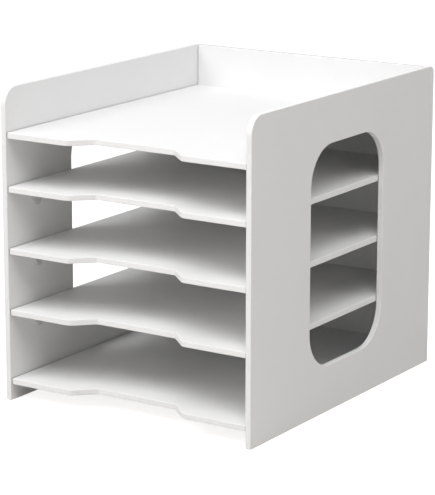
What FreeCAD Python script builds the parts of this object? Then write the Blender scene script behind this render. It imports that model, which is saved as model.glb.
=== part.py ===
import FreeCAD, Part
import os
import re
import Sketcher
from FreeCAD import Rotation, Vector

# A desktop paper organiser of flat white boards: two side panels with a large window,
# a back panel, and five fixed shelves with a finger notch in the front edge.
# The part's frame: X to the right, Y to the rear, Z up, millimetres, with the origin
# on the floor below the middle of the outline.

SIZES = {
    # Boards
    "side_board": 6,
    "shelf_board": 6,
    "back_board": 6,
    # Outline: clear width between the side panels, and depth of a side panel
    "inner_width": 280,
    "side_depth": 356,
    # Heights of the spaces, from the floor up
    "foot_gap": 17,
    "bottom_bay": 66,
    "lower_bay": 57,
    "middle_bay": 57,
    "upper_bay": 48.5,
    "gallery": 44.5,
    # How far the shelves and the back panel stand inside the side panels' edges
    "shelf_setback": 1.5,
    "back_inset": 7.4,
    # Corners and edges
    "front_corner": 18,
    "rear_corner": 7.5,
    "back_corner": 3,
    "corner_ease": 0.5,
    "arris": 0.7,
    # Window in each side panel
    "window_front": 108,
    "window_rear": 105,
    "window_margin": 48,
    "window_corner": 40,
    # Finger notch in each shelf
    "notch_depth": 20,
    "notch_floor": 92,
    "notch_mouth": 134,
    "notch_outer_round": 10,
    "notch_inner_round": 5,
    # Lines of the fixings, from the side panels' front edge and from the back panel
    "fixing_front": 47,
    "fixing_rear": 47,
    # Clearances, and the skin left outside a blind hole
    "end_play": 0.3,
    "hole_play": 0.05,
    "hole_spare": 0.3,
    "hole_skin": 1.7,
    # Moulded shelf support
    "support_width": 15,
    "support_drop": 20,
    "support_reach": 16,
    "support_toe": 5,
    "plate_wall": 2,
    "tongue_wall": 3,
    "tongue_taper": 7.5,
    "tongue_tip": 4,
    "tongue_round": 1.5,
    "cheek_wall": 1.4,
    "cheek_reach": 11,
    "pin_diameter": 5,
    "pin_drop": 8,
    "support_screw_reach": 9,
    # Dowels
    "dowel_diameter": 3,
    "dowel_in_board": 12,
    "dowel_chamfer": 0.4,
    "back_dowel_margin": 40,
    # Screws
    "screw_diameter": 2.5,
    "screw_point": 1.5,
    "pan_head_diameter": 5,
    "pan_head_height": 1.6,
    "pan_head_ease": 0.5,
    "sunk_head_diameter": 5,
    "sunk_head_height": 1.25,
    "back_screw_bite": 12,
    "back_screw_margin": 30,
    "recess_span": 2.6,
    "recess_slot": 0.7,
    "recess_depth": 0.8,
}

# Lengths that follow from the sizes above
HEIGHT = "(foot_gap + bottom_bay + lower_bay + middle_bay + upper_bay + gallery + 5 * shelf_board)"
BACK_FACE = "(side_depth - back_inset - back_board)"
BLIND_HOLE = "(side_board - hole_skin)"
PIN_LENGTH = f"({BLIND_HOLE} - hole_spare)"
FIXING_SPAN = f"({BACK_FACE} - fixing_rear - fixing_front)"
SMALL_CORNER = "(arris + corner_ease)"
DOWEL_HOLE = "(dowel_diameter + 2 * hole_play)"
DOWEL_LENGTH = f"({BLIND_HOLE} + end_play + dowel_in_board)"
DOWEL_PITCH = f"(inner_width + 2 * {BLIND_HOLE} - {DOWEL_LENGTH})"
BOARD_LENGTH = "(inner_width - 2 * end_play)"
BACK_DOWEL_SPAN = f"({HEIGHT} - 2 * back_dowel_margin)"
SCREW_HOLE = "(screw_diameter + 2 * hole_play)"
BACK_SCREW_SPAN = "(inner_width - 2 * back_screw_margin)"
SUPPORT_SCREW_BITE = "(shelf_board - hole_skin - hole_spare)"

# Underside of each shelf, from the floor up
SHELF_UNDERSIDE = {
    "bottom": "(foot_gap)",
    "lower": "(foot_gap + bottom_bay + shelf_board)",
    "middle": "(foot_gap + bottom_bay + lower_bay + 2 * shelf_board)",
    "upper": "(foot_gap + bottom_bay + lower_bay + middle_bay + 3 * shelf_board)",
    "top": f"({HEIGHT} - gallery - shelf_board)",
}
DOWELLED_SHELVES = ["bottom", "top"]
SUPPORTED_SHELVES = ["lower", "middle", "upper"]
BACK_DOWELS_PER_SIDE = 3
BACK_SCREWS_PER_SHELF = 3

doc = FreeCAD.newDocument("LetterTray")
sheet = doc.addObject("Spreadsheet::Sheet", "Sizes")
for row, (alias, size) in enumerate(SIZES.items(), start=1):
    sheet.set(f"A{row}", alias)
    sheet.set(f"B{row}", str(size))
    sheet.setAlias(f"B{row}", alias)
doc.recompute()

nodes = []


def linked(formula):
    """The formula with each size in it written as a cell of the sheet."""
    return re.sub(r"[a-z_]+", lambda word: f"Sizes.{word[0]}", formula)


def value(formula):
    """What the formula gives with the sheet's present sizes."""
    return float(sheet.evalExpression(linked(formula)))


def bind(thing, prop, formula):
    """Tie a property of an object, or a constraint of a sketch, to the sheet."""
    thing.setExpression(prop, linked(formula))


def new_body(label, place, turn=None):
    """A body for one sub-part, placed in the part's frame by three formulas."""
    body = doc.addObject("PartDesign::Body", "".join(word.title() for word in label.split("_")))
    body.Label = label
    body.AllowCompound = True
    if turn:
        body.Placement.Rotation = turn
    for axis, formula in zip("xyz", place):
        bind(body, f".Placement.Base.{axis}", formula)
    nodes.append(body)
    return body


def origin_item(body, role):
    """One of the planes or axes of the body's own origin."""
    return next(item for item in body.Origin.OriginFeatures if item.Role == role)


def sketch_on(body, name, role, lift):
    """An empty sketch on an origin plane of the body, lifted along the plane's normal."""
    sketch = body.newObject("Sketcher::SketchObject", name)
    sketch.AttachmentSupport = [(origin_item(body, role), "")]
    sketch.MapMode = "FlatFace"
    bind(sketch, ".AttachmentOffset.Base.z", lift)
    return sketch


def pin_point(sketch, geometry, end, spot):
    """Hold a point of the sketch at two distances from the sketch's origin."""
    for kind, axis, formula in zip(("DistanceX", "DistanceY"), (-2, -1), spot):
        if formula == "0":
            sketch.addConstraint(Sketcher.Constraint("PointOnObject", geometry, end, axis))
            continue
        constraint = Sketcher.Constraint(kind, -1, 1, geometry, end, value(formula))
        index = sketch.addConstraint(constraint)
        bind(sketch, f"Constraints[{index}]", formula)


def draw_outline(sketch, corners):
    """A closed outline of straight lines through the corners."""
    spots = [Vector(value(u), value(v), 0) for u, v in corners]
    lines = []
    for start, end in zip(spots, spots[1:] + spots[:1]):
        lines.append(sketch.addGeometry(Part.LineSegment(start, end)))
    for line, following in zip(lines, lines[1:] + lines[:1]):
        sketch.addConstraint(Sketcher.Constraint("Coincident", line, 2, following, 1))
    for line, corner in zip(lines, corners):
        pin_point(sketch, line, 1, corner)


def draw_circles(sketch, centres, diameter):
    """Equal circles round the given centres."""
    for u, v in centres:
        centre = Vector(value(u), value(v), 0)
        circle = Part.Circle(centre, Vector(0, 0, 1), value(diameter) / 2)
        index = sketch.addGeometry(circle)
        size = sketch.addConstraint(Sketcher.Constraint("Diameter", index, value(diameter)))
        bind(sketch, f"Constraints[{size}]", diameter)
        pin_point(sketch, index, 3, (u, v))


def extrude(body, kind, name, sketch, length, along_normal):
    """A Pad or a Pocket of the sketch, towards its normal or away from it."""
    before = body.Shape.Volume if not body.Shape.isNull() else 0
    feature = body.newObject(f"PartDesign::{kind}", name)
    feature.Profile = sketch
    bind(feature, "Length", length)
    feature.Reversed = along_normal if kind == "Pocket" else not along_normal
    doc.recompute()
    change = feature.Shape.Volume - before
    if kind == "Pocket":
        change = -change
    if change < 0.5:
        raise RuntimeError(f"{body.Label}: {name} changes nothing")
    return feature


def drill(body, name, role, lift, centres, diameter, depth, along_normal):
    """Blind or through holes on an origin plane of the body."""
    sketch = sketch_on(body, f"{name}Centres", role, lift)
    draw_circles(sketch, centres, diameter)
    return extrude(body, "Pocket", name, sketch, depth, along_normal)


def drill_ends(body, centres):
    """The dowel holes in both ends of a board that lies between the side panels."""
    drill(body, "LeftDowelHoles", "YZ_Plane", "0", centres, DOWEL_HOLE, "dowel_in_board", True)
    drill(body, "RightDowelHoles", "YZ_Plane", BOARD_LENGTH, centres,
          DOWEL_HOLE, "dowel_in_board", False)


def round_edges(body, name, test, radius):
    """Fillet every edge of the body that the test picks."""
    base = body.Tip
    picked = [f"Edge{i}" for i, edge in enumerate(base.Shape.Edges, start=1) if test(edge)]
    fillet = body.newObject("PartDesign::Fillet", name)
    fillet.Base = (base, picked)
    bind(fillet, "Radius", radius)
    doc.recompute()
    return fillet


def round_corners(body, name, thickness_axis, spots, radius):
    """Fillet the corners of a board, which are the edges across its thickness."""
    across = [axis for axis in range(3) if axis != thickness_axis]
    places = [(value(u), value(v)) for u, v in spots]

    def at_a_spot(edge):
        box = edge.BoundBox
        low = Vector(box.XMin, box.YMin, box.ZMin)
        high = Vector(box.XMax, box.YMax, box.ZMax)
        if max(high[axis] - low[axis] for axis in across) > 0.001:
            return False
        here = [low[axis] for axis in across]
        return any(abs(here[0] - u) + abs(here[1] - v) < 0.01 for u, v in places)

    return round_edges(body, name, at_a_spot, radius)


def ease_arrises(body, thickness_axis):
    """Round the edges all along the two faces of a board."""

    def along_a_face(edge):
        box = edge.BoundBox
        return (box.XLength, box.YLength, box.ZLength)[thickness_axis] < 0.001

    return round_edges(body, "EasedArrises", along_a_face, "arris")


def repeat(body, originals, steps):
    """Copy features along the body's axes: each step is an axis, a span and a count."""
    pattern = body.newObject("PartDesign::MultiTransform", "Repeats")
    pattern.Originals = originals
    rows = []
    for axis, span, count in steps:
        rows.append(body.newObject("PartDesign::LinearPattern", f"Row{axis}"))
        rows[-1].Direction = (origin_item(body, f"{axis}_Axis"), [""])
        bind(rows[-1], "Length", span)
        rows[-1].Occurrences = count
    pattern.Transformations = rows
    body.Tip = pattern
    doc.recompute()
    return pattern


def fixing_lines():
    """Where the fixings of a shelf stand, from the side panels' front edge."""
    return ["fixing_front", f"({BACK_FACE} - fixing_rear)"]


def back_dowel_heights():
    """Heights of the dowels at each end of the back panel."""
    gaps = BACK_DOWELS_PER_SIDE - 1
    return [f"(back_dowel_margin + {BACK_DOWEL_SPAN} * {i} / {gaps})" for i in range(gaps + 1)]


def back_screw_lines():
    """Where the screws through the back panel stand, from the left end of a board."""
    gaps = BACK_SCREWS_PER_SHELF - 1
    first = "back_screw_margin - end_play"
    return [f"({first} + {BACK_SCREW_SPAN} * {i} / {gaps})" for i in range(gaps + 1)]


def side_panel(side):
    """An upright board with a large window and two rounded top corners."""
    outer_x = "(0 - inner_width / 2 - side_board)" if side == "left" else "(inner_width / 2)"
    body = new_body(f"{side}_side_panel", (outer_x, "(0 - side_depth / 2)", "0"))
    outline = sketch_on(body, "Outline", "YZ_Plane", "0")
    front_top = ("0", HEIGHT)
    rear_top = ("side_depth", HEIGHT)
    feet = [("0", "0"), ("side_depth", "0")]
    draw_outline(outline, [feet[0], feet[1], rear_top, front_top])
    extrude(body, "Pad", "Board", outline, "side_board", True)
    round_corners(body, "FrontTopCorner", 0, [front_top], "front_corner")
    round_corners(body, "RearTopCorner", 0, [rear_top], "rear_corner")
    round_corners(body, "FootCorners", 0, feet, SMALL_CORNER)

    window_far = "(side_depth - window_rear)"
    window_top = f"({HEIGHT} - window_margin)"
    window_corners = [
        ("window_front", "window_margin"),
        (window_far, "window_margin"),
        (window_far, window_top),
        ("window_front", window_top),
    ]
    window = sketch_on(body, "WindowOutline", "YZ_Plane", "0")
    draw_outline(window, window_corners)
    extrude(body, "Pocket", "Window", window, "side_board", True)
    round_corners(body, "WindowCorners", 0, window_corners, "window_corner")
    ease_arrises(body, 0)

    inner_face = "side_board" if side == "left" else "0"
    towards_outside = side == "right"
    pin_holes = []
    for shelf in SUPPORTED_SHELVES:
        pin_height = f"({SHELF_UNDERSIDE[shelf]} - pin_drop)"
        pin_holes += [(line, pin_height) for line in fixing_lines()]
    drill(body, "PinHoles", "YZ_Plane", inner_face, pin_holes,
          "(pin_diameter + 2 * hole_play)", BLIND_HOLE, towards_outside)
    dowel_holes = []
    for shelf in DOWELLED_SHELVES:
        middle = f"({SHELF_UNDERSIDE[shelf]} + shelf_board / 2)"
        dowel_holes += [(line, middle) for line in fixing_lines()]
    back_middle = f"({BACK_FACE} + back_board / 2)"
    dowel_holes += [(back_middle, height) for height in back_dowel_heights()]
    drill(body, "DowelHoles", "YZ_Plane", inner_face, dowel_holes,
          DOWEL_HOLE, BLIND_HOLE, towards_outside)


def back_panel():
    """The board that closes the rear, as tall as the side panels and set in between them."""
    place = ("(end_play - inner_width / 2)", f"({BACK_FACE} - side_depth / 2)", "0")
    body = new_body("back_panel", place)
    outline = sketch_on(body, "Outline", "XZ_Plane", "0")
    feet = [("0", "0"), (BOARD_LENGTH, "0")]
    tops = [(BOARD_LENGTH, HEIGHT), ("0", HEIGHT)]
    draw_outline(outline, feet + tops)
    extrude(body, "Pad", "Board", outline, "back_board", False)
    round_corners(body, "TopCorners", 1, tops, "back_corner")
    round_corners(body, "FootCorners", 1, feet, SMALL_CORNER)
    ease_arrises(body, 1)

    dowel_holes = [("(back_board / 2)", height) for height in back_dowel_heights()]
    drill_ends(body, dowel_holes)

    centres = sketch_on(body, "ScrewCentres", "XZ_Plane", "(0 - back_board)")
    places = []
    for shelf in DOWELLED_SHELVES:
        height = f"({SHELF_UNDERSIDE[shelf]} + shelf_board / 2)"
        places += [(line, height) for line in back_screw_lines()]
    draw_circles(centres, places, SCREW_HOLE)
    before = body.Shape.Volume
    holes = body.newObject("PartDesign::Hole", "SunkScrewHoles")
    holes.Profile = centres
    doc.recompute()
    holes.Threaded = False
    holes.DepthType = "ThroughAll"
    holes.Reversed = True
    holes.HoleCutType = "Countersink"
    holes.HoleCutCustomValues = True
    holes.HoleCutCountersinkAngle = 90
    bind(holes, "Diameter", SCREW_HOLE)
    bind(holes, "HoleCutDiameter", "sunk_head_diameter")
    doc.recompute()
    if before - holes.Shape.Volume < 0.5:
        raise RuntimeError("back_panel: SunkScrewHoles cut nothing")


def shelf(level):
    """A shelf with a shallow trapezoid notch in its front edge for the fingers."""
    rear_play = "end_play" if level in SUPPORTED_SHELVES else "0"
    depth = f"({BACK_FACE} - shelf_setback - {rear_play})"
    front = "(shelf_setback - side_depth / 2)"
    body = new_body(f"{level}_shelf", ("(end_play - inner_width / 2)", front, SHELF_UNDERSIDE[level]))
    mouth = [(f"({BOARD_LENGTH} / 2 {sign} notch_mouth / 2)", "0") for sign in "-+"]
    floor = [(f"({BOARD_LENGTH} / 2 {sign} notch_floor / 2)", "notch_depth") for sign in "-+"]
    ends = [("0", "0"), (BOARD_LENGTH, "0"), (BOARD_LENGTH, depth), ("0", depth)]
    outline = sketch_on(body, "Outline", "XY_Plane", "0")
    draw_outline(outline, [ends[0], mouth[0], floor[0], floor[1], mouth[1]] + ends[1:])
    extrude(body, "Pad", "Board", outline, "shelf_board", True)
    round_corners(body, "NotchMouth", 2, mouth, "notch_outer_round")
    round_corners(body, "NotchFloor", 2, floor, "notch_inner_round")
    round_corners(body, "Corners", 2, ends, SMALL_CORNER)
    ease_arrises(body, 2)

    lines = [f"({line} - shelf_setback)" for line in fixing_lines()]
    if level in SUPPORTED_SHELVES:
        near = "(support_screw_reach - end_play)"
        far = f"({BOARD_LENGTH} - {near})"
        places = [(reach, line) for reach in (near, far) for line in lines]
        drill(body, "SupportScrewHoles", "XY_Plane", "0", places,
              SCREW_HOLE, "(shelf_board - hole_skin)", True)
        return
    drill_ends(body, [(line, "(shelf_board / 2)") for line in lines])
    places = [(line, "(shelf_board / 2)") for line in back_screw_lines()]
    drill(body, "BackScrewHoles", "XZ_Plane", f"(0 - {depth})", places,
          SCREW_HOLE, "(back_screw_bite + hole_spare)", True)


def shelf_support(level, side, end):
    """A moulded support: a tapered tongue on the wall, a plate under the shelf, two cheeks, a pin."""
    line = fixing_lines()[0 if end == "front" else 1]
    sign = 1 if side == "left" else -1
    place = (
        f"({-sign} * inner_width / 2)",
        f"({line} - side_depth / 2 - {sign} * support_width / 2)",
        f"({SHELF_UNDERSIDE[level]} - support_drop)",
    )
    turn = Rotation(Vector(0, 0, 1), 0 if side == "left" else 180)
    body = new_body(f"{level}_shelf_support_{end}_{side}", place, turn)
    middle = "(support_width / 2)"

    tongue = sketch_on(body, "TongueOutline", "YZ_Plane", "0")
    tip = [(f"((support_width {half} tongue_tip) / 2)", "0") for half in "-+"]
    draw_outline(tongue, tip + [("support_width", "tongue_taper"), ("support_width", "support_drop"),
                                ("0", "support_drop"), ("0", "tongue_taper")])
    extrude(body, "Pad", "Tongue", tongue, "tongue_wall", True)
    round_corners(body, "TongueTip", 0, tip, "tongue_round")

    plate_low = "(support_drop - plate_wall)"
    plate = sketch_on(body, "PlateOutline", "XY_Plane", plate_low)
    toe = [("support_reach", "0"), ("support_reach", "support_width")]
    draw_outline(plate, [("0", "0"), toe[0], toe[1], ("0", "support_width")])
    extrude(body, "Pad", "Plate", plate, "plate_wall", True)
    round_corners(body, "PlateToe", 2, toe, "support_toe")

    cheek = sketch_on(body, "CheekOutline", "XZ_Plane", "0")
    draw_outline(cheek, [("0", "tongue_taper"), ("tongue_wall", "tongue_taper"),
                         ("cheek_reach", plate_low), ("cheek_reach", "support_drop"),
                         ("0", "support_drop")])
    cheek_pad = extrude(body, "Pad", "Cheek", cheek, "cheek_wall", False)
    repeat(body, [cheek_pad], [("Y", "(support_width - cheek_wall)", 2)])

    pin = sketch_on(body, "PinOutline", "YZ_Plane", "0")
    draw_circles(pin, [(middle, "(support_drop - pin_drop)")], "pin_diameter")
    extrude(body, "Pad", "Pin", pin, PIN_LENGTH, False)
    drill(body, "ScrewHole", "XY_Plane", "support_drop", [("support_screw_reach", middle)],
          SCREW_HOLE, "plate_wall", False)


def dowels(label, place, steps):
    """Dowels along X with chamfered ends, each seated on the bottoms of both its holes."""
    body = new_body(label, place)
    radius = "(dowel_diameter / 2)"
    small = "(dowel_diameter / 2 - dowel_chamfer)"
    profile = sketch_on(body, "Profile", "XZ_Plane", "0")
    draw_outline(profile, [("0", "0"), (DOWEL_LENGTH, "0"), (DOWEL_LENGTH, small),
                           (f"({DOWEL_LENGTH} - dowel_chamfer)", radius),
                           ("dowel_chamfer", radius), ("0", small)])
    dowel = body.newObject("PartDesign::Revolution", "Dowel")
    dowel.Profile = profile
    dowel.ReferenceAxis = (profile, ["H_Axis"])
    doc.recompute()
    repeat(body, [dowel], [("X", DOWEL_PITCH, 2)] + steps)


def screws(label, place, turn, head, length, steps):
    """Screws along Z with a cross recess: the head starts at zero and the point is at the length."""
    body = new_body(label, place, turn)
    shank = "(screw_diameter / 2)"
    rim = f"({head}_head_diameter / 2)"
    under_head = f"{head}_head_height"
    head_outline = [("0", "0"), (rim, "0")]
    if head == "pan":
        head_outline = [("0", "0"), (f"({rim} - pan_head_ease)", "0"),
                        (rim, "pan_head_ease"), (rim, under_head)]
    profile = sketch_on(body, "Profile", "XZ_Plane", "0")
    draw_outline(profile, head_outline + [(shank, under_head),
                                          (shank, f"({length} - screw_point)"), ("0", length)])
    screw = body.newObject("PartDesign::Revolution", "Screw")
    screw.Profile = profile
    screw.ReferenceAxis = (profile, ["V_Axis"])
    doc.recompute()

    # The cross is drawn from its own corner and moved back by half its span
    cross = sketch_on(body, "CrossOutline", "XY_Plane", "0")
    for axis in "xy":
        bind(cross, f".AttachmentOffset.Base.{axis}", "(0 - recess_span / 2)")
    near = "((recess_span - recess_slot) / 2)"
    far = "((recess_span + recess_slot) / 2)"
    end = "recess_span"
    draw_outline(cross, [(near, "0"), (far, "0"), (far, near), (end, near), (end, far), (far, far),
                         (far, end), (near, end), (near, far), ("0", far), ("0", near), (near, near)])
    recess = extrude(body, "Pocket", "CrossRecess", cross, "recess_depth", True)
    repeat(body, [screw, recess], steps)


for panel_side in ("left", "right"):
    side_panel(panel_side)
back_panel()
for shelf_level in SHELF_UNDERSIDE:
    shelf(shelf_level)
for shelf_level in SUPPORTED_SHELVES:
    for support_end in ("front", "rear"):
        for support_side in ("left", "right"):
            shelf_support(shelf_level, support_side, support_end)

first_dowel_x = f"(0 - inner_width / 2 - {BLIND_HOLE})"
first_fixing_y = "(fixing_front - side_depth / 2)"
for shelf_level in DOWELLED_SHELVES:
    dowel_height = f"({SHELF_UNDERSIDE[shelf_level]} + shelf_board / 2)"
    dowels(f"{shelf_level}_shelf_dowels", (first_dowel_x, first_fixing_y, dowel_height),
           [("Y", FIXING_SPAN, 2)])
dowels("back_panel_dowels",
       (first_dowel_x, f"({BACK_FACE} + back_board / 2 - side_depth / 2)", "back_dowel_margin"),
       [("Z", BACK_DOWEL_SPAN, BACK_DOWELS_PER_SIDE)])

point_to_front = Rotation(Vector(1, 0, 0), 90)
for shelf_level in DOWELLED_SHELVES:
    screw_place = (
        "(back_screw_margin - inner_width / 2)",
        f"({BACK_FACE} + back_board - side_depth / 2)",
        f"({SHELF_UNDERSIDE[shelf_level]} + shelf_board / 2)",
    )
    screws(f"{shelf_level}_shelf_back_screws", screw_place, point_to_front, "sunk",
           "(back_board + back_screw_bite)", [("X", BACK_SCREW_SPAN, BACK_SCREWS_PER_SHELF)])
for shelf_level in SUPPORTED_SHELVES:
    screw_place = (
        "(support_screw_reach - inner_width / 2)",
        first_fixing_y,
        f"({SHELF_UNDERSIDE[shelf_level]} - plate_wall - pan_head_height)",
    )
    screws(f"{shelf_level}_shelf_support_screws", screw_place, None, "pan",
           f"(pan_head_height + plate_wall + {SUPPORT_SCREW_BITE})",
           [("X", "(inner_width - 2 * support_screw_reach)", 2), ("Y", FIXING_SPAN, 2)])

doc.recompute()
for item in doc.Objects:
    if "Invalid" in item.State or "Error" in item.State:
        raise RuntimeError(f"{item.Label} failed: {item.State}")
for node in nodes:
    if node.Shape.isNull() or not node.Shape.isValid():
        raise RuntimeError(f"{node.Label} has no valid shape")

os.makedirs("parts", exist_ok=True)
for node in nodes:
    node.Shape.exportStep(f"parts/{node.Label}.step")
    print(node.Label, len(node.Shape.Solids), round(node.Shape.Volume, 2))
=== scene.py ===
import math

import bpy
import numpy as np
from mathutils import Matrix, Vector


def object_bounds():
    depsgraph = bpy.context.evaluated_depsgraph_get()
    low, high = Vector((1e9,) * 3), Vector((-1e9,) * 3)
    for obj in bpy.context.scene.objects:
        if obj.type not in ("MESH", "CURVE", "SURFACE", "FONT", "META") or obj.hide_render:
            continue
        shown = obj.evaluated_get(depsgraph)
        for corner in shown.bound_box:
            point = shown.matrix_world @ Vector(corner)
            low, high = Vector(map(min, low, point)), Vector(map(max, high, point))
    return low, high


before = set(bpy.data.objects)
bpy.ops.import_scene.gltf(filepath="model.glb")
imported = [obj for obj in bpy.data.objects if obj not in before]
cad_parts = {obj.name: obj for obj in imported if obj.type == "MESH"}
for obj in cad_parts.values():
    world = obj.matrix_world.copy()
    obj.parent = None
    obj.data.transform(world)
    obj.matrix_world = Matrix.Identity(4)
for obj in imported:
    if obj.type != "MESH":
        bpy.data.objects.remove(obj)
cad_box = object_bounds()


# Side panels
# Two upright boards of white foamed PVC, 6 mm thick, routed to shape with a large window.
# The extruded skin is dull and a little uneven. The routed edges are more matt, with the
# cutter's fine marks across the thickness and the pores that it opens in the foam.

def linear(hex_colour):
    """An sRGB hex colour as linear red, green and blue, with an alpha of 1."""
    srgb = np.array([int(hex_colour[i:i + 2], 16) for i in (1, 3, 5)]) / 255
    curve = np.where(srgb <= 0.04045, srgb / 12.92, ((srgb + 0.055) / 1.055) ** 2.4)
    return (*curve.tolist(), 1.0)


def add(tree, kind, sockets=None, **settings):
    """A new node with its settings. Each socket is given a value, or the output that feeds it."""
    node = tree.nodes.new(kind)
    for name, setting in settings.items():
        setattr(node, name, setting)
    for socket, given in (sockets or {}).items():
        if isinstance(given, bpy.types.NodeSocket):
            tree.links.new(given, node.inputs[socket])
        else:
            node.inputs[socket].default_value = given
    return node


def empty_material(name):
    """A node material with nothing in it yet, and its tree."""
    material = bpy.data.materials.new(name)
    material.use_nodes = True
    material.node_tree.nodes.clear()
    return material, material.node_tree


def surface(tree, colour, roughness, bump, **same_all_over):
    """The shader of a solid finish: what varies is linked, what doesn't is set on its socket."""
    sockets = {"Base Color": colour, "Roughness": roughness, "Normal": bump}
    sockets.update({name.replace("_", " "): value for name, value in same_all_over.items()})
    shader = add(tree, "ShaderNodeBsdfPrincipled", sockets)
    add(tree, "ShaderNodeOutputMaterial", {"Surface": shader.outputs["BSDF"]})


def features_of(size_mm):
    """The scale that gives a pattern features of about this size, with coordinates in metres."""
    return 1000 / size_mm


def stretched(tree, place, axis, times):
    """Coordinates that draw a pattern out along one axis, so many times longer than it is wide."""
    squeeze = [1.0, 1.0, 1.0]
    squeeze["XYZ".index(axis)] = 1 / times
    node = add(tree, "ShaderNodeVectorMath", {0: place, 1: squeeze}, operation="MULTIPLY")
    return node.outputs["Vector"]


# The side panels' window by its middle and half its size, and the ends of the other boards where
# shade in the joints is painted
WINDOW_MIDDLE = (0, 0.0015, 0.160)
WINDOW_HALF = (0, 0.0715, 0.112)
BOARD_END = max(corner[0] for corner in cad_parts["top_shelf"].bound_box)
# How far the painted joint shade reaches in from a board's end, and how it fades
JOINT_SHADE_WIDTH = 0.0008
JOINT_SHADE_FADE = 0.0003


def painted_shade_at_joint(tree, place):
    """1 on the last bit of a board beside a side panel, where shade in the joint is painted, and 0
    on its end seen in the window.
    """
    offset = add(tree, "ShaderNodeVectorMath", {0: place, 1: WINDOW_MIDDLE}, operation="SUBTRACT")
    away = add(tree, "ShaderNodeVectorMath", {0: offset.outputs[0]}, operation="ABSOLUTE")
    past = add(tree, "ShaderNodeVectorMath", {0: away.outputs[0], 1: WINDOW_HALF},
               operation="SUBTRACT")
    beyond = add(tree, "ShaderNodeSeparateXYZ", {"Vector": past.outputs[0]})
    end = add(tree, "ShaderNodeMapRange", {"Value": beyond.outputs["X"],
                                           "From Min": BOARD_END - JOINT_SHADE_WIDTH,
                                           "From Max": BOARD_END - JOINT_SHADE_WIDTH + JOINT_SHADE_FADE})
    outside = add(tree, "ShaderNodeMath", {0: beyond.outputs["Y"], 1: beyond.outputs["Z"]},
                  operation="MAXIMUM")
    hidden = add(tree, "ShaderNodeMath", {0: outside.outputs[0], 1: 0.0},
                 operation="GREATER_THAN")
    joint_shade = add(tree, "ShaderNodeMath", {0: end.outputs["Result"], 1: hidden.outputs[0]},
               operation="MULTIPLY")
    return joint_shade.outputs[0]


def foamed_board(name, thin_axis, drawn_axis, edge="#ECECEC", joint_shade=None):
    """Foamed PVC board whose skin was drawn out along one axis and whose edges were routed.

    Edge is the white of the routed edges, greyed on the back board as painted shade. The joint
    colour is painted shade, a dark hairline where the board meets a side panel.
    """
    material, tree = empty_material(name)
    coordinates = add(tree, "ShaderNodeTexCoord")
    place = coordinates.outputs["Object"]

    # 0 on the two flat sides, 1 where the cutter has been
    turned = add(tree, "ShaderNodeSeparateXYZ", {"Vector": coordinates.outputs["Normal"]})
    flat = add(tree, "ShaderNodeMath", {0: turned.outputs[thin_axis]}, operation="ABSOLUTE")
    cut = add(tree, "ShaderNodeMapRange", {"Value": flat.outputs[0], "From Min": 0.8,
                                           "From Max": 0.4, "To Min": 0.0, "To Max": 1.0})
    routed = cut.outputs["Result"]

    # Cloudy unevenness of the skin, about 60 mm wide
    cloud = add(tree, "ShaderNodeTexNoise", {"Vector": place, "Scale": features_of(60),
                                             "Detail": 2.0})
    skin_white = add(tree, "ShaderNodeMix", {0: cloud.outputs[0], 6: linear("#E6E6E6"),
                                             7: linear("#EAEAEA")}, data_type="RGBA")
    # Pores of 0.2 to 0.4 mm in the routed edges, drawn at 0.8 mm so that they show close up
    cells = add(tree, "ShaderNodeTexVoronoi", {"Vector": place, "Scale": features_of(0.8)})
    holes = add(tree, "ShaderNodeMapRange", {"Value": cells.outputs["Distance"],
                                             "From Min": 0.10, "From Max": 0.32,
                                             "To Min": 1.0, "To Max": 0.0})
    pores = holes.outputs["Result"]
    # The pores' greyer white is painted shade inside the open cells
    edge_white = add(tree, "ShaderNodeMix", {0: pores, 6: linear(edge),
                                             7: linear("#D3D2D0")}, data_type="RGBA")
    white = add(tree, "ShaderNodeMix", {0: routed, 6: skin_white.outputs[2],
                                        7: edge_white.outputs[2]}, data_type="RGBA")
    # Painted shade in the joint where the board meets a side panel
    if joint_shade:
        white = add(tree, "ShaderNodeMix", {0: painted_shade_at_joint(tree, place), 6: white.outputs[2],
                                            7: linear(joint_shade)}, data_type="RGBA")

    # Draw lines of the extruded skin, 0.3 mm apart on the real board and drawn at 1.2 mm
    lengthwise = stretched(tree, place, drawn_axis, times=30)
    draw = add(tree, "ShaderNodeTexNoise", {"Vector": lengthwise, "Scale": features_of(1.2),
                                            "Detail": 3.0})
    dull = add(tree, "ShaderNodeMapRange", {"Value": draw.outputs[0], "To Min": 0.60,
                                            "To Max": 0.72})
    matt = add(tree, "ShaderNodeMapRange", {"Value": pores, "To Min": 0.66, "To Max": 0.84})
    roughness = add(tree, "ShaderNodeMix", {0: routed, 2: dull.outputs["Result"],
                                            3: matt.outputs["Result"]}, data_type="FLOAT")

    # Orange peel about 3 mm from crest to crest on the skin, cutter marks 0.9 mm apart on edges
    peel = add(tree, "ShaderNodeTexNoise", {"Vector": place, "Scale": features_of(3),
                                            "Detail": 1.0})
    skin_height = add(tree, "ShaderNodeMath", {0: draw.outputs[0], 1: 0.3, 2: peel.outputs[0]},
                      operation="MULTIPLY_ADD")
    across = stretched(tree, place, thin_axis, times=40)
    marks = add(tree, "ShaderNodeTexNoise", {"Vector": across, "Scale": features_of(0.9),
                                             "Detail": 1.0})
    edge_height = add(tree, "ShaderNodeMath", {0: marks.outputs[0], 1: pores},
                      operation="SUBTRACT")
    height = add(tree, "ShaderNodeMix", {0: routed, 2: skin_height.outputs[0],
                                         3: edge_height.outputs[0]}, data_type="FLOAT")
    bump = add(tree, "ShaderNodeBump", {"Height": height.outputs[0], "Strength": 1.0,
                                        "Distance": 0.000006})
    surface(tree, white.outputs[2], roughness.outputs[0], bump.outputs["Normal"], IOR=1.50)
    return material


def dress(name, material):
    """Give a CAD node its material."""
    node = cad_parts[name]
    node.data.materials.clear()
    node.data.materials.append(material)


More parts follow.
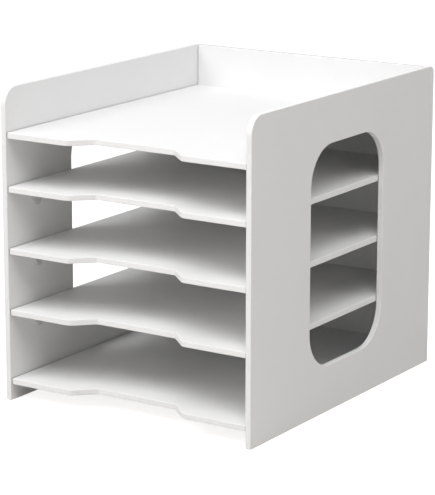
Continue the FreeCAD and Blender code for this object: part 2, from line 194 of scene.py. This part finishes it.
side_board = foamed_board("side_board", thin_axis="X", drawn_axis="Z")
for side in ("left", "right"):
    dress(f"{side}_side_panel", side_board)


# Back panel
# One more board of the same sheet, set in between the side panels and dowelled to them.
# Its top edge is the rail that stops things at the rear of the top shelf. Its routed edges
# are painted a little greyer than the other edges, as shade for the rail's top edge.

# Light painted shade at the back board's ends where they meet the side panels
back_board = foamed_board("back_board", thin_axis="Y", drawn_axis="Z", edge="#D6D6D5",
                          joint_shade="#C8C6C3")
dress("back_panel", back_board)


# Shelves
# Five boards with a finger notch routed in the front edge. The top and bottom ones are
# dowelled and screwed in place, and the other three lie on moulded supports.

# Dark painted shade at the shelves' ends where they meet the side panels
shelf_board = foamed_board("shelf_board", thin_axis="Z", drawn_axis="X", joint_shade="#3C3A38")
for level in ("bottom", "lower", "middle", "upper", "top"):
    dress(f"{level}_shelf", shelf_board)


# Shelf supports
# Small light grey ABS mouldings, four under each loose shelf, pinned into the side panels.
# The spark-eroded mould leaves a fine even grain, and the plastic is a little shinier
# than the boards.

def moulded_abs(name):
    """Light grey ABS with the grain of a spark-eroded mould."""
    material, tree = empty_material(name)
    place = add(tree, "ShaderNodeTexCoord").outputs["Object"]
    # Grain of about 0.1 mm, drawn at 0.5 mm so that it shows close up
    grain = add(tree, "ShaderNodeTexNoise", {"Vector": place, "Scale": features_of(0.5),
                                             "Detail": 2.0})
    grey = add(tree, "ShaderNodeMix", {0: grain.outputs[0], 6: linear("#CBCBC9"),
                                       7: linear("#D1D1CF")}, data_type="RGBA")
    roughness = add(tree, "ShaderNodeMapRange", {"Value": grain.outputs[0], "To Min": 0.28,
                                                 "To Max": 0.44})
    bump = add(tree, "ShaderNodeBump", {"Height": grain.outputs[0], "Strength": 1.0,
                                        "Distance": 0.000012})
    surface(tree, grey.outputs[2], roughness.outputs["Result"], bump.outputs["Normal"],
            IOR=1.54)
    return material


support_abs = moulded_abs("support_abs")
for level in ("lower", "middle", "upper"):
    for end in ("front", "rear"):
        for side in ("left", "right"):
            dress(f"{level}_shelf_support_{end}_{side}", support_abs)


# Screws
# Cross-recessed steel screws with bright zinc plating: sunk heads through the back panel,
# small pan heads up through the supports. The plating's crystals cloud their shine a little.

def zinc_plate(name):
    """Bright zinc plating on a cold-headed screw, with a cloudy, slightly bluish shine."""
    material, tree = empty_material(name)
    place = add(tree, "ShaderNodeTexCoord").outputs["Object"]
    # Crystals of the plating, about 0.6 mm
    crystals = add(tree, "ShaderNodeTexNoise", {"Vector": place, "Scale": features_of(0.6),
                                                "Detail": 3.0})
    zinc = add(tree, "ShaderNodeMix", {0: crystals.outputs[0], 6: linear("#C3C7CB"),
                                       7: linear("#DEDFDD")}, data_type="RGBA")
    roughness = add(tree, "ShaderNodeMapRange", {"Value": crystals.outputs[0],
                                                 "To Min": 0.22, "To Max": 0.40})
    bump = add(tree, "ShaderNodeBump", {"Height": crystals.outputs[0], "Strength": 1.0,
                                        "Distance": 0.000004})
    surface(tree, zinc.outputs[2], roughness.outputs["Result"], bump.outputs["Normal"],
            Metallic=1.0)
    return material


screw_zinc = zinc_plate("screw_zinc")
for level in ("bottom", "top"):
    dress(f"{level}_shelf_back_screws", screw_zinc)
for level in ("lower", "middle", "upper"):
    dress(f"{level}_shelf_support_screws", screw_zinc)


# Dowels
# Beech pins, 3 mm thick, pressed into blind holes. The grain runs along each pin, with
# the short darker flecks that beech shows on a turned face.

def beech(name, grain_axis):
    """Turned beech: pale brown with fine fibres and short dark flecks along the grain."""
    material, tree = empty_material(name)
    place = add(tree, "ShaderNodeTexCoord").outputs["Object"]
    # Fibres of about 0.4 mm, and flecks of about 0.7 by 3.5 mm
    fibre_place = stretched(tree, place, grain_axis, times=20)
    fibres = add(tree, "ShaderNodeTexNoise", {"Vector": fibre_place, "Scale": features_of(0.4),
                                              "Detail": 3.0})
    fleck_place = stretched(tree, place, grain_axis, times=5)
    cells = add(tree, "ShaderNodeTexVoronoi", {"Vector": fleck_place,
                                               "Scale": features_of(0.7)})
    flecks = add(tree, "ShaderNodeMapRange", {"Value": cells.outputs["Distance"],
                                              "From Min": 0.05, "From Max": 0.20,
                                              "To Min": 0.6, "To Max": 0.0})
    wood = add(tree, "ShaderNodeMix", {0: fibres.outputs[0], 6: linear("#C79C6B"),
                                       7: linear("#DDB98B")}, data_type="RGBA")
    flecked = add(tree, "ShaderNodeMix", {0: flecks.outputs["Result"], 6: wood.outputs[2],
                                          7: linear("#9A6C42")}, data_type="RGBA")
    roughness = add(tree, "ShaderNodeMapRange", {"Value": fibres.outputs[0], "To Min": 0.50,
                                                 "To Max": 0.68})
    bump = add(tree, "ShaderNodeBump", {"Height": fibres.outputs[0], "Strength": 1.0,
                                        "Distance": 0.00003})
    surface(tree, flecked.outputs[2], roughness.outputs["Result"], bump.outputs["Normal"],
            IOR=1.50)
    return material


dowel_beech = beech("dowel_beech", grain_axis="X")
for name in ("bottom_shelf_dowels", "top_shelf_dowels", "back_panel_dowels"):
    dress(name, dowel_beech)


# Studio floor
# A pale, slightly warm matt sheet that runs out of the picture. The camera sees it lifted
# to white, and it keeps the soft shadow beside the tray's feet.

FLOOR_HALF = 4.0
corners = [(x, y, 0) for x, y in ((-1, -1), (1, -1), (1, 1), (-1, 1))]
floor_mesh = bpy.data.meshes.new("studio_floor")
floor_mesh.from_pydata([Vector(corner) * FLOOR_HALF for corner in corners], [], [(0, 1, 2, 3)])
floor = bpy.data.objects.new("studio_floor", floor_mesh)
bpy.context.scene.collection.objects.link(floor)


def seen_directly(tree):
    """1 for rays from the camera, from gloss or through glass, and 0 for diffuse light."""
    path = add(tree, "ShaderNodeLightPath")
    direct = add(tree, "ShaderNodeMath", {0: path.outputs["Is Camera Ray"],
                                          1: path.outputs["Is Glossy Ray"]},
                 operation="MAXIMUM")
    seen = add(tree, "ShaderNodeMath", {0: direct.outputs[0],
                                        1: path.outputs["Is Transmission Ray"]},
               operation="MAXIMUM")
    return seen.outputs[0]


FLOOR_LIFT = 0.82
floor_paper, floor_tree = empty_material("floor_paper")
matt_floor = add(floor_tree, "ShaderNodeBsdfDiffuse", {"Color": linear("#CFCBC7")})
lift = add(floor_tree, "ShaderNodeMath", {0: seen_directly(floor_tree), 1: FLOOR_LIFT},
           operation="MULTIPLY")
glow = add(floor_tree, "ShaderNodeEmission", {"Strength": lift.outputs[0]})
lifted = add(floor_tree, "ShaderNodeAddShader", {0: matt_floor.outputs[0], 1: glow.outputs[0]})
add(floor_tree, "ShaderNodeOutputMaterial", {"Surface": lifted.outputs[0]})
floor_mesh.materials.append(floor_paper)


# Studio light
# An even white room, two large soft lamps high in front, one each side of the middle,
# and two faint ones, low behind the tray and behind it on the right.

ROOM_LIGHT = 0.30
world = bpy.data.worlds.new("studio")
bpy.context.scene.world = world
world.use_nodes = True
room = world.node_tree
room.nodes.clear()
backdrop = add(room, "ShaderNodeBackground", {"Color": linear("#FFFFFF"), "Strength": 1.0})
walls = add(room, "ShaderNodeBackground", {"Color": linear("#FFFFFF"), "Strength": ROOM_LIGHT})
shown = add(room, "ShaderNodeMixShader", {0: seen_directly(room), 1: walls.outputs[0],
                                          2: backdrop.outputs[0]})
add(room, "ShaderNodeOutputWorld", {"Surface": shown.outputs[0]})


tray_middle = (cad_box[0] + cad_box[1]) / 2
LAMP_SIZE = 1.6
LAMP_DISTANCE = 2.5


def soft_lamp(name, azimuth, elevation, watts):
    """A square lamp aimed at the tray's middle, from an azimuth where 0 is the front."""
    around, above = math.radians(azimuth), math.radians(elevation)
    towards = Vector((math.sin(around) * math.cos(above), -math.cos(around) * math.cos(above),
                      math.sin(above)))
    lamp = bpy.data.lights.new(name, "AREA")
    lamp.size = LAMP_SIZE
    lamp.energy = watts
    holder = bpy.data.objects.new(name, lamp)
    holder.location = tray_middle + towards * LAMP_DISTANCE
    holder.rotation_euler = towards.to_track_quat("Z", "Y").to_euler()
    bpy.context.scene.collection.objects.link(holder)


soft_lamp("right_lamp", azimuth=28, elevation=55, watts=38.3)
soft_lamp("left_lamp", azimuth=-35, elevation=45, watts=27.5)
soft_lamp("rear_lamp", azimuth=180, elevation=15, watts=3.8)
soft_lamp("side_lamp", azimuth=120, elevation=40, watts=6.7)


# Camera
# Placed by fitting the tray's own edges: 33 degrees round to the right of the front and
# looking down by 13.7 degrees, through a long lens about 2.3 m away.

CAMERA_PLACE = (1.2336, -1.9101, 0.6942)
CAMERA_AZIMUTH = 33.00
CAMERA_TILT = 13.654
CAMERA_ROLL = 0.054
LENS_MM = 165.44
camera_data = bpy.data.cameras.new("camera")
camera_data.lens = LENS_MM
camera = bpy.data.objects.new("camera", camera_data)
camera.location = CAMERA_PLACE
camera.rotation_euler = [math.radians(angle) for angle in (90 - CAMERA_TILT, 0, CAMERA_AZIMUTH)]
camera.rotation_euler.rotate_axis("Z", math.radians(CAMERA_ROLL))
bpy.context.scene.collection.objects.link(camera)
bpy.context.scene.camera = camera
bpy.context.scene.view_settings.view_transform = "Standard"
